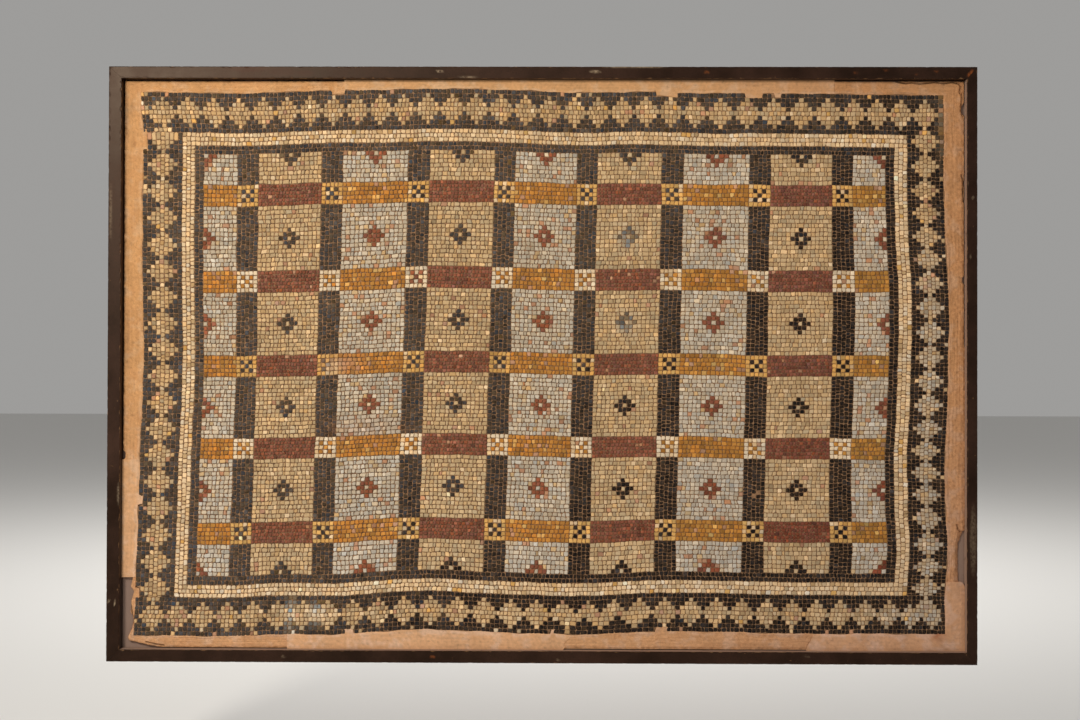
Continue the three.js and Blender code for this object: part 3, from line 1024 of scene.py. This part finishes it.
class Bag:
    """Stones of one piece, each with its laid corners, height and colour."""

    def __init__(self, seed):
        self.rng = random.Random(seed)
        self.palette = settings("stones")
        self.stones = []

    def add(self, corners, kind, joint):
        """Adds a stone whose set-out cell has these corners, anticlockwise from bottom left."""
        rng = self.rng
        middle = (sum(c[0] for c in corners) / 4, sum(c[1] for c in corners) / 4)
        if any(a < middle[0] < b and c < middle[1] < d for a, b, c, d in GAPS):
            return
        half = joint / 2 * mix(1.05, 0.8, smoothstep(-500, 500, middle[0]))
        turn = rng.gauss(0, 0.05)
        rough_cut = []
        for x, y in corners:
            dx, dy = x - middle[0], y - middle[1]
            x += -math.copysign(half * rng.uniform(0.3, 1.7), dx) - dy * turn
            y += -math.copysign(half * rng.uniform(0.3, 1.7), dy) + dx * turn
            rough_cut.append(Vector((x, y)))
        laid = []
        for i, corner in enumerate(rough_cut):
            if rng.random() < CORNER_LOSS:
                for other in (rough_cut[i - 1], rough_cut[(i + 1) % 4]):
                    side = other - corner
                    laid.append(corner + side * min(rng.uniform(*CORNER_CUT) / side.length, 0.35))
            else:
                laid.append(corner)
        laid = [hand_lay(*corner) for corner in laid]
        sunk = 0.55 if kind == "dark" else 0
        front = STONE_FRONT - 0.25 - sunk + max(min(rng.gauss(0, 0.2), 0.25), -0.6)
        tilt = (rng.gauss(0, 0.03), rng.gauss(0, 0.03))
        self.stones.append((laid, front, tilt, self.tint(kind, *middle)))

    def tint(self, kind, x, y):
        """The colour of one stone of a kind at a place."""
        rng = self.rng
        alternates, spread = VARIETY[kind]
        chance = rng.random()
        base = None
        for other, share in alternates:
            if chance < share:
                base = getattr(self.palette, other)
                break
            chance -= share
        if base is None:
            base = getattr(self.palette, BASE_OF.get(kind, kind))
        base = Vector(base)
        if kind == "dark":
            base = Vector(self.palette.slate).lerp(Vector(self.palette.black), darkness(x, y, rng))
        if kind == "tan":
            base = base.lerp(Vector(self.palette.grey) * 0.92, greyness(x, y, rng))
        for px, py, half_wide, half_high, other, most in PATCHES:
            away = ((x - px) / half_wide) ** 2 + ((y - py) / half_high) ** 2
            if away < 3:
                fade = most * math.exp(-away) * rng.uniform(0.6, 1.3)
                base = base.lerp(Vector(getattr(self.palette, other)), clamp(fade))
        # Drifts with place: every kind turns bluer towards the bottom, painted cool light there; red, rust and
        # ochre also dim towards the right, red and rust most at the bottom right, painted falloff of the light
        # away from the top left; the value is raised at the bottom left and top right and lowered a little at the
        # bottom right.
        low = smoothstep(150, -560, y)
        right = smoothstep(-100, 850, x)
        value = math.exp(rng.gauss(0, spread)) * (1 + 0.12 * rough(x, y, 90, 31))
        value *= 1 + 0.09 * low * (1 - right) + 0.09 * right * (1 - low) - 0.03 * right * low
        warm = rng.gauss(0, spread * (0.5 if kind == "dark" else 0.3))
        if kind in ("red", "rust"):
            hue = (1 - 0.12 * right, 1 - 0.12 * right - 0.20 * right * low, 1 - 0.32 * right * low)
        elif kind == "ochre":
            hue = (1 - 0.12 * right, 1 - 0.05 * right, 1)
        else:
            hue = (1, 1 + 0.03 * low, 1 + 0.10 * low + 0.03 * right)
        return [clamp(c * value * w * h) for c, w, h in zip(base, (1 + warm, 1, 1 - warm * 1.5), hue)]


CORNER_LOSS = 0.42  # the share of corners knocked off
CORNER_CUT = (1.2, 2.9)  # how far from the corner

# For each kind: other colours that turn up among it with their shares, and its spread in tone.
VARIETY = {
    "cream": ([("white", 0.08), ("tan", 0.10), ("yellow", 0.02)], 0.12),
    "tan": ([("cream", 0.06), ("salmon", 0.03), ("yellow", 0.01)], 0.15),
    "beige": ([("cream", 0.04), ("salmon", 0.02)], 0.13),
    "grey": ([("salmon", 0.05), ("beige", 0.05)], 0.13),
    "dark": ([], 0.25),
    "red": ([("salmon", 0.01), ("rust", 0.08)], 0.22),
    "rust": ([("red", 0.2)], 0.18),
    "ochre": ([("yellow", 0.05), ("salmon", 0.04)], 0.18),
    "yellow": ([("cream", 0.12)], 0.14),
    "white": ([("cream", 0.25)], 0.12),
    "salmon": ([], 0.15),
    "faded": ([("salmon", 0.2), ("white", 0.1)], 0.2),
}
BASE_OF = {"dark": "slate", "faded": "tan"}


def darkness(x, y, rng):
    """How black the dark stones are: weathered slate at the left, black at the right and foot."""
    here = smoothstep(-420, 620, x - 0.9 * y) * 0.95
    return clamp(here + rng.gauss(0, 0.14) + 0.3 * noise.noise(Vector((x / 120, y / 120, 12))))


def greyness(x, y, rng):
    """How grey the border's ground is: most along the right side and at the bottom right."""
    return clamp(smoothstep(700, 860, x) * smoothstep(420, 100, y) * (0.6 + rng.gauss(0, 0.3)))


def spaced(rng, start, end, pitch, wander):
    """Joints from start to end, about a pitch apart, at uneven distances."""
    count = max(1, round((end - start) / pitch))
    widths = [rng.uniform(1 - wander, 1 + wander) for _ in range(count)]
    scale = (end - start) / sum(widths)
    joints = [start]
    for width in widths:
        joints.append(joints[-1] + width * scale)
    joints[-1] = end
    return joints


def course(bag, upright, low, high, joints, kind_of, joint=1.0, skew=0.5):
    """Lays one course of stones between low and high, which runs along x, or up y if upright."""
    rng = bag.rng
    slants = [rng.uniform(-skew, skew) for _ in joints]
    slants[0] = slants[-1] = 0
    for i in range(len(joints) - 1):
        a, b, sa, sb = joints[i], joints[i + 1], slants[i], slants[i + 1]
        kind = kind_of((a + b) / 2, (low + high) / 2)
        if kind is None:
            continue
        corners = [(a - sa, low), (b - sb, low), (b + sb, high), (a + sa, high)]
        if upright:
            corners = [(corners[k][1], corners[k][0]) for k in (0, 3, 2, 1)]
        bag.add(corners, kind, joint)


SLOPE = 0.75  # height of a stone's worn edge against its width


def stone_object(name, bag, material, slot, *nodes):
    """Small closed blocks with worn edges, one for each stone."""
    bm = bmesh.new()
    tint = bm.verts.layers.float_color.new("stone_colour")
    group = settings("stones")
    chamfer = group.chamfer
    seat = STONE_FRONT - group.seat / MM
    for corners, front, tilt, rgb in bag.stones:
        cx = sum(c[0] for c in corners) / len(corners)
        cy = sum(c[1] for c in corners) / len(corners)
        shoulder = front - chamfer / MM * SLOPE
        verts = []
        for x, y in corners:
            vert = bm.verts.new(at(x, y, shoulder + (x - cx) * tilt[0] + (y - cy) * tilt[1]))
            vert[tint] = (*rgb, 1)
            verts.append(vert)
        bm.faces.new(verts)
    tops = list(bm.faces)
    made = bmesh.ops.extrude_face_region(bm, geom=tops, use_keep_orig=True)["geom"]
    for item in made:
        if isinstance(item, bmesh.types.BMVert):
            item.co.y = -seat * MM
    bmesh.ops.reverse_faces(bm, faces=[g for g in made if isinstance(g, bmesh.types.BMFace)])
    bmesh.ops.recalc_face_normals(bm, faces=bm.faces)
    bmesh.ops.inset_individual(
        bm, faces=tops, thickness=chamfer, depth=chamfer * SLOPE, use_even_offset=True
    )
    return to_object(name, bm, material, slot, *nodes)


# ---- the stepped border

COURSES = 9
RIM_WORN = 0.05  # the share of the outermost stones that are worn pale
STEPS = 6  # stones from one tip to the next

# Tips of the steps as laid, as pairs of a count and a place; the rest are spread evenly between.
TOP_TIPS = [(-1, -962), (0, -908), (4, -672), (11, -293), (17, 47), (23, 381), (28, 692), (32, 911), (33, 965)]
BOTTOM_INNER = [(0, -869), (3, -696), (9, -347), (14, -40), (19, 257), (24, 551), (29, 831), (32, 999)]
BOTTOM_OUTER = [(-2, -985), (0, -869), (3, -696), (9, -347), (15, 22), (18, 256), (23, 550), (28, 824), (31, 978)]
LEFT_TIPS = [(-1, 616), (0, 554), (5, 244), (9, 2), (13, -243), (16, -427), (18, -553), (19, -613)]
RIGHT_TIPS = [(-1, 604), (0, 546), (2, 430), (6, 218), (9, 47), (12, -120), (16, -324), (18, -441), (20, -537), (21, -587)]


def tip_list(pairs, first, last, to_set_out):
    counts = [p[0] for p in pairs]
    places = [p[1] for p in pairs]
    out = []
    for k in range(first, last + 1):
        out.append(to_set_out(between(list(zip(counts, places)), k)))
    return sorted(out)


class Steps:
    """The stepped pattern along one side: where the tips are, in set-out places."""

    def __init__(self, tips, live):
        self.tips = tips
        self.live = live  # the tips that carry steps lie between these places

    def count(self, place):
        """place as a count of stones, with a whole number at the middle of each."""
        tips = self.tips
        for k in range(len(tips) - 1):
            if place <= tips[k + 1] or k == len(tips) - 2:
                return STEPS * (k + (place - tips[k]) / (tips[k + 1] - tips[k]))

    def place(self, count):
        tips = self.tips
        k = min(max(int(count // STEPS), 0), len(tips) - 2)
        return tips[k] + (count / STEPS - k) * (tips[k + 1] - tips[k])

    def away(self, place):
        """How many stones from the nearest tip, or many if that tip carries no step."""
        stones = self.count(place)
        tip = round(stones / STEPS)
        at_tip = self.tips[min(max(tip, 0), len(self.tips) - 1)]
        if not self.live[0] <= at_tip <= self.live[1]:
            return STEPS
        return abs(stones - STEPS * tip)


def stepped(depth_course, outer, inner, place):
    """True where a stone in that course, counted from 1 outside to 9 inside, is dark."""
    reach = {2: 2.5, 3: 1.5, 4: 0.5}
    if depth_course in reach:
        return outer.away(place) < reach[depth_course]
    mirrored = COURSES + 1 - depth_course
    if mirrored in reach:
        return inner.away(place) < reach[mirrored]
    return False


def border_sides():
    head = lambda px: set_out_x(px, EDGE["head"] - 45)
    foot = lambda px: set_out_x(px, EDGE["foot"] + 45)
    left = lambda py: set_out_y(EDGE["left"] + 45, py)
    right = lambda py: set_out_y(EDGE["right"] - 45, py)
    far = 2000
    top = Steps(tip_list(TOP_TIPS, -1, 33, head), (-far, far))
    top_inner = Steps(top.tips, (-860, 880))
    bottom_outer = Steps(tip_list(BOTTOM_OUTER, -2, 30, foot), (-far, far))
    bottom_inner = Steps(tip_list(BOTTOM_INNER, 0, 32, foot), (-far, 850))
    left_side = Steps(tip_list(LEFT_TIPS, -1, 19, left), (-575, 575))
    right_side = Steps(tip_list(RIGHT_TIPS, -1, 21, right), (-560, 570))
    return {
        "head": (top, top_inner),
        "foot": (bottom_outer, bottom_inner),
        "left": (left_side, left_side),
        "right": (right_side, right_side),
    }


def border_kind(sides, rng):
    """A function that gives the kind of the border stone at a set-out place."""

    def kind(x, y):
        depths = {
            "head": (EDGE["head"] - y) / (EDGE["head"] - CREAM["head"]),
            "foot": (y - EDGE["foot"]) / (CREAM["foot"] - EDGE["foot"]),
            "left": (x - EDGE["left"]) / (CREAM["left"] - EDGE["left"]),
            "right": (EDGE["right"] - x) / (EDGE["right"] - CREAM["right"]),
        }
        for side, depth in depths.items():
            number = int(depth * COURSES) + 1
            if not 1 <= number <= COURSES:
                continue
            along = x if side in ("head", "foot") else y
            if number == 1 and not ring_runs(side, along):
                return "faded"
            if number == 1:
                return "dark"
            if number == COURSES and in_line(side, x, y):
                return "dark"
            if stepped(number, *sides[side], along):
                return "dark"
        return "tan"

    return kind


def ring_runs(side, along):
    """Where the outermost dark course runs; it is worn away at two corners."""
    low, high = {
        "head": (-905, 2000), "foot": (-2000, 2000), "left": (-578, 579), "right": (-2000, 588),
    }[side]
    return low < along < high


def in_line(side, x, y):
    """Whether a place is on the innermost dark course, which stops at the cream band's corners."""
    if side in ("head", "foot"):
        return CREAM["left"] - STONE < x < CREAM["right"] + STONE
    return CREAM["foot"] - STONE < y < CREAM["head"] + STONE


def border_joints(rng, steps_of, low, high, wander):
    """Joints along a border course, in step with the tips."""
    first = math.ceil(steps_of.count(low) + 0.8)
    last = math.floor(steps_of.count(high) - 0.3)
    places = [steps_of.place(k - 0.5 + rng.uniform(-wander, wander)) for k in range(first, last + 1)]
    return [low, *places, high]


class MOSAIC_OT_border_stones(bpy.types.Operator):
    """Lays the stepped border"""

    bl_idname = "mosaic.border_stones"
    bl_label = "Border Stones"

    def execute(self, context):
        bag = Bag(11)
        sides = border_sides()
        kind = border_kind(sides, bag.rng)
        for side in ("head", "foot", "left", "right"):
            upright = side in ("left", "right")
            near, far = EDGE[side], CREAM[side]
            if upright:
                low, high = CREAM["foot"], CREAM["head"]
            else:
                low, high = EDGE["left"], EDGE["right"]
            for number in range(1, COURSES + 1):
                a = near + (far - near) * (number - 1) / COURSES
                b = near + (far - near) * number / COURSES
                outer, inner = sides[side]
                if number == 5:
                    joints = spaced(bag.rng, low, high, STONE, 0.22)
                else:
                    joints = border_joints(bag.rng, outer if number < 5 else inner, low, high, 0.12)

                def kind_here(x, y, side=side, number=number):
                    along = y if side in ("left", "right") else x
                    if number == 1 and is_lost(side, along):
                        return None
                    if number == 1 and bag.rng.random() < RIM_WORN:
                        return "faded"
                    return kind(x, y)

                def turned(along, across):
                    return kind_here(across, along) if upright else kind_here(along, across)

                course(bag, upright, min(a, b), max(a, b), joints, turned, joint=1.5)
        stone_object("border_stones", bag, stone_material(), "border_stone", "stepped_border")
        return {"FINISHED"}


# ---- the plain bands


def ring_courses(bag, outer, inner, number, kind, pitch, joint, wander):
    """Courses that run round between two set-out rectangles, meeting at the corners."""
    for k in range(number):
        rects = []
        for t in (k / number, (k + 1) / number):
            rects.append({s: mix(outer[s], inner[s], t) for s in outer})
        out, near = rects
        for side in ("head", "foot"):
            low, high = sorted((out[side], near[side]))
            joints = spaced(bag.rng, out["left"], out["right"], pitch, wander)
            course(bag, False, low, high, joints, lambda x, y: kind, joint)
        for side in ("left", "right"):
            low, high = sorted((out[side], near[side]))
            joints = spaced(bag.rng, near["foot"], near["head"], pitch, wander)
            course(bag, True, low, high, joints, lambda x, y: kind, joint)


class MOSAIC_OT_band_stones(bpy.types.Operator):
    """Lays the cream band and the dark band inside it"""

    bl_idname = "mosaic.band_stones"
    bl_label = "Band Stones"

    def execute(self, context):
        bag = Bag(12)
        ring_courses(bag, CREAM, DARK, 3, "cream", STONE, 1.5, 0.26)
        stone_object("cream_stones", bag, stone_material(), "cream_stone", "cream_band")
        bag = Bag(13)
        ring_courses(bag, DARK, FIELD, 2, "dark", STONE * 0.93, 1.7, 0.24)
        stone_object("dark_stones", bag, stone_material(), "dark_stone", "dark_band")
        return {"FINISHED"}


# ---- the field

# The columns and rows of the field from edge to edge, as pairs of set-out places.
UPRIGHT_EDGES = [e for m in BANDS for e in (m - BAND / 2, m + BAND / 2)]
CROSS_EDGES = [e for m in CROSSES for e in (m + BAND / 2, m - BAND / 2)]
COLUMN_EDGES = [FIELD["left"], *UPRIGHT_EDGES, FIELD["right"]]
ROW_EDGES = [FIELD["head"], *CROSS_EDGES, FIELD["foot"]]
PANEL_STONES = 15


def diamond_kind(ground, figure, light, across, down):
    """The kind at a count of stones from a diamond's middle."""
    reach = abs(across) + abs(down)
    if across == 0 and down == 0:
        return light
    return figure if reach <= 2 else ground


def panel_counts(low, high, whole):
    """How many stones a panel takes, and which of them the diamond's middle is on."""
    count = round((high - low) / STONE)
    if count >= whole - 1:
        return whole, (whole - 1) // 2
    return count, None


def panel_stones(bag, column, row, left, right, head, foot):
    """A ground panel with its diamond: black on beige, or rust on grey."""
    beige = column % 4 == 2
    ground, figure = ("beige", "dark") if beige else ("grey", "rust")
    wide = PANEL_STONES if 0 < column < 16 else 8
    tall = PANEL_STONES if 0 < row < 10 else 7
    middle_across = {0: 0, 16: wide - 1}.get(column, 7)
    middle_down = {0: 0, 10: tall - 1}.get(row, 7)
    plain = not beige and (column, row) == (4, 2)
    light = figure if plain else ground
    pitch = (head - foot) / tall
    for down in range(tall):
        top = head - down * pitch

        def kind(x, y, down=down):
            across = int((x - left) / (right - left) * wide)
            return diamond_kind(ground, figure, light, across - middle_across, down - middle_down)

        near = abs(down - middle_down) <= 2
        step = (right - left) / wide
        wander = 0.10 if near else 0.34
        joints = [left + step * k + bag.rng.uniform(-wander, wander) * step for k in range(wide + 1)]
        joints[0], joints[-1] = left, right
        course(bag, False, top - pitch, top, joints, kind, 1.5)


def band_stones(bag, left, right, head, foot, kind, upright, courses, pitch, joint):
    """A stretch of a band: courses along it, with cross joints that don't line up."""
    for k in range(courses):
        if upright:
            low, high = mix(left, right, k / courses), mix(left, right, (k + 1) / courses)
            joints = spaced(bag.rng, foot, head, pitch, 0.24)
        else:
            low, high = mix(foot, head, k / courses), mix(foot, head, (k + 1) / courses)
            joints = spaced(bag.rng, left, right, pitch, 0.24)
        course(bag, upright, low, high, joints, lambda a, b: kind, joint)


def crossing_stones(bag, column, row, left, right, head, foot):
    """A five by five square with five dots: black on yellow, or ochre on white."""
    even = (row // 2) % 2 == 0
    ground, dot = ("yellow", "dark") if even else ("white", "ochre")
    if (column, row) == (5, 3):
        dot = "rust"
    dots = {(1, 1), (3, 1), (2, 2), (1, 3), (3, 3)}
    pitch = (head - foot) / 5
    for down in range(5):
        top = head - down * pitch

        def kind(x, y, down=down):
            across = int((x - left) / (right - left) * 5)
            return dot if (across, down) in dots else ground

        step = (right - left) / 5
        joints = [left + step * k + bag.rng.uniform(-0.08, 0.08) * step for k in range(6)]
        joints[0], joints[-1] = left, right
        course(bag, False, top - pitch, top, joints, kind, 1.5)


def cross_band_kind(column, row, part):
    """Ochre across the grey columns, red across the beige; two stretches were mixed up in the laying."""
    kind = "red" if column % 4 == 2 else "ochre"
    if (column, row) == (4, 7):
        kind = "red" if part else "ochre"
    return kind


class MOSAIC_OT_field_stones(bpy.types.Operator):
    """Lays the field: panels with diamonds, dark bands, cross bands and crossing squares"""

    bl_idname = "mosaic.field_stones"
    bl_label = "Field Stones"

    def execute(self, context):
        grey, beige, upright, across = Bag(14), Bag(15), Bag(16), Bag(17)
        for column in range(17):
            left, right = COLUMN_EDGES[column : column + 2]
            for row in range(11):
                head, foot = ROW_EDGES[row], ROW_EDGES[row + 1]
                cell = (left, right, head, foot)
                if column % 2 == 0 and row % 2 == 0:
                    panel_stones(beige if column % 4 == 2 else grey, column, row, *cell)
                elif column % 2 == 0:
                    kind = cross_band_kind(column, row, False)
                    small = kind == "red"
                    band_stones(across, *cell, kind, False, 6 if small else 5,
                                STONE * (0.86 if small else 1.0), 1.4)
                elif row % 2 == 0:
                    pitch = STONE * mix(0.97, 0.91, smoothstep(0, 500, left))
                    band_stones(upright, *cell, "dark", True, 5, pitch, 1.7)
                else:
                    crossing_stones(across, column, row, *cell)
        for name, bag in (("grey_panels", grey), ("beige_panels", beige),
                          ("upright_bands", upright), ("cross_bands", across)):
            stone_object(name, bag, stone_material(), "field_stone", "field")
        return {"FINISHED"}


def stone_material():
    """Worn stone, each one in its own colour, with a haze of mortar left on it."""
    name = "worn_stone"
    if name in bpy.data.materials:
        return bpy.data.materials[name]
    haze = settings("mortar").joint
    return mineral_material(name, None, haze, 0.16, 170, 1100, 0.2, 0.8)


# ---------------------------------------------------------------- stage


def area_light(name, place, target, size, power, tint, glossy=True):
    data = bpy.data.lights.new(name, "AREA")
    data.shape = "DISK"
    data.size = size
    data.energy = power
    data.color = tint
    light = bpy.data.objects.new(name, data)
    light.location = place
    light.rotation_euler = (Vector(target) - Vector(place)).to_track_quat("-Z", "Y").to_euler()
    light.visible_glossy = glossy
    bpy.context.scene.collection.objects.link(light)


class MOSAIC_OT_stage(bpy.types.Operator):
    """Makes the floor, the lights and the camera"""

    bl_idname = "mosaic.stage"
    bl_label = "Stage"

    def execute(self, context):
        group = settings("stage")
        scene = context.scene
        scene.view_settings.view_transform = "Standard"
        bm = bmesh.new()
        bmesh.ops.create_grid(bm, x_segments=1, y_segments=1, size=30)
        drop = CAD_BOX[0][2] - group.drop
        bmesh.ops.translate(bm, vec=(0, 0, drop), verts=bm.verts)
        mesh = bpy.data.meshes.new("floor")
        bm.to_mesh(mesh)
        bm.free()
        floor = bpy.data.objects.new("floor", mesh)
        scene.collection.objects.link(floor)
        paint = bpy.data.materials.new("plain_floor")
        paint.use_nodes = True
        shader = paint.node_tree.nodes["Principled BSDF"]
        shader.inputs["Base Color"].default_value = opaque(group.floor)
        shader.inputs["Roughness"].default_value = 0.9
        mesh.materials.append(paint)
        world = bpy.data.worlds.new("studio")
        world.use_nodes = True
        sky = world.node_tree.nodes["Background"].inputs
        sky["Color"].default_value = (1.0, 0.985, 0.96, 1)
        sky["Strength"].default_value = group.sky
        scene.world = world
        area_light("key", (-1.55, -2.5, 1.3), (0, 0, 0), 0.7, group.key, (1.0, 0.94, 0.85))
        area_light("floor", (0.0, 3.2, 3.2), (0.0, 5.0, -1.0), 4.0, group.back, (1.0, 0.98, 0.95))
        area_light("fill", (0.9, -3.9, -0.1), (0, 0, 0), 2.0, group.fill, (1.0, 0.98, 0.95), False)
        data = bpy.data.cameras.new("camera")
        data.lens = 50
        data.sensor_width = 36
        camera = bpy.data.objects.new("camera", data)
        camera.location = (0.0272, -3.5090, -0.0210)
        camera.rotation_euler = [math.radians(a) for a in (90.518, -0.145, 0.504)]
        scene.collection.objects.link(camera)
        scene.camera = camera
        return {"FINISHED"}


class MOSAIC_PT_panel(bpy.types.Panel):
    """Lists the pieces"""

    bl_idname = "MOSAIC_PT_panel"
    bl_label = "Mosaic Panel"
    bl_space_type = "VIEW_3D"
    bl_region_type = "UI"
    bl_category = "Mosaic Panel"

    def draw(self, context):
        for operator in OPERATORS:
            self.layout.operator(operator.bl_idname)
        for name in GROUPS:
            box = self.layout.box()
            group = settings(name)
            for prop in group.bl_rna.properties:
                if prop.identifier not in ("rna_type", "name"):
                    box.prop(group, prop.identifier)


GROUPS = {
    "frame": FrameSettings,
    "mortar": MortarSettings,
    "stones": StoneSettings,
    "stage": StageSettings,
}
OPERATORS = (
    MOSAIC_OT_stage,
    MOSAIC_OT_frame,
    MOSAIC_OT_backing,
    MOSAIC_OT_mortar_bed,
    MOSAIC_OT_repair_fills,
    MOSAIC_OT_joint_mortar,
    MOSAIC_OT_border_stones,
    MOSAIC_OT_band_stones,
    MOSAIC_OT_field_stones,
)


def register():
    for cls in (*GROUPS.values(), *OPERATORS, MOSAIC_PT_panel):
        bpy.utils.register_class(cls)
    for name, cls in GROUPS.items():
        setattr(bpy.types.Scene, "mosaic_" + name, PointerProperty(type=cls))


def unregister():
    for name in GROUPS:
        delattr(bpy.types.Scene, "mosaic_" + name)
    for cls in reversed((*GROUPS.values(), *OPERATORS, MOSAIC_PT_panel)):
        bpy.utils.unregister_class(cls)


def main():
    register()
    for operator in OPERATORS:
        group, action = operator.bl_idname.split(".")
        getattr(getattr(bpy.ops, group), action)()


if __name__ == "__main__":
    main()
